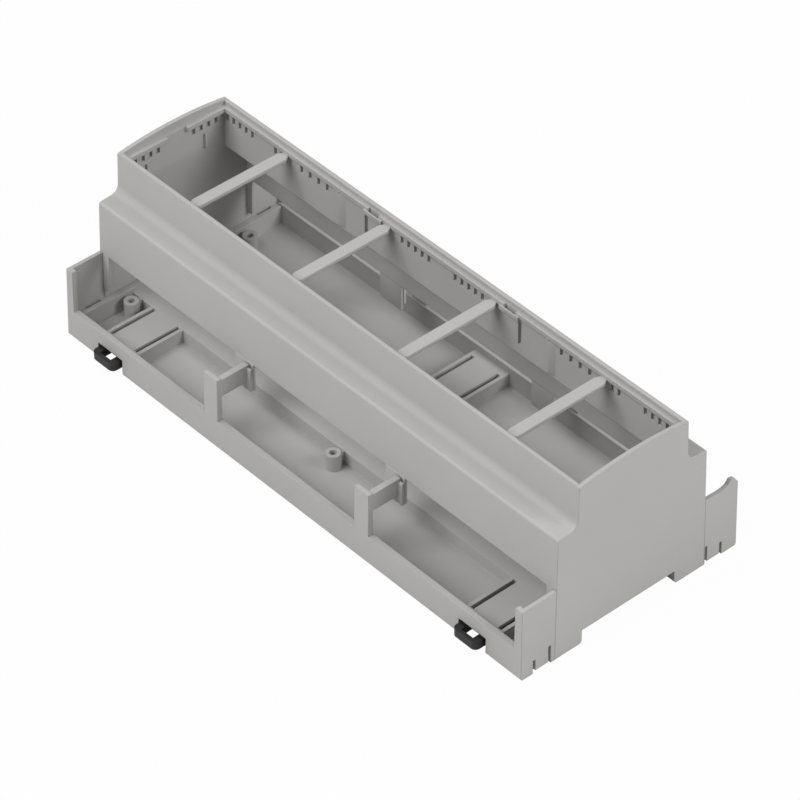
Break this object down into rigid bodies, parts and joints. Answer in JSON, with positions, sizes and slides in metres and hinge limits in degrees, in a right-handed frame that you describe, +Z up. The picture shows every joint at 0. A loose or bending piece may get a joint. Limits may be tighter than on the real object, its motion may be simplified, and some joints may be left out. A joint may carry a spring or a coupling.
{
  "type": "din rail enclosure",
  "caption": "Long grey stepped enclosure for a 35 mm rail, open at the top and over both terminal bays, with cross bars inside and black sliding rail latches at the front.",
  "frame": {"origin": "middle of the rail's seat, on the ceiling of the recess in the underside, halfway along the case", "axes": "+X along the rail, -Y the side with the latches, +Z up, away from the rail"},
  "size_m": [0.2134, 0.0929, 0.0641],
  "materials": {
    "grey_plastic": "fine matt moulded surface",
    "black_plastic": "satin moulded surface"
  },
  "bodies": {
    "housing": {"base": "grey_plastic", "upper_shell": "grey_plastic"},
    "latch_left": {"latch_left": "black_plastic"},
    "latch_right": {"latch_right": "black_plastic"}
  },
  "joints": [
    {"name": "latch_left_slide", "type": "slide", "parent": "housing", "child": "latch_left", "axis": [0, -1, 0], "range_m": [0, 0.0045], "stiffness_N_per_m": 300},
    {"name": "latch_right_slide", "type": "slide", "parent": "housing", "child": "latch_right", "axis": [0, -1, 0], "range_m": [0, 0.0045], "stiffness_N_per_m": 300}
  ]
}
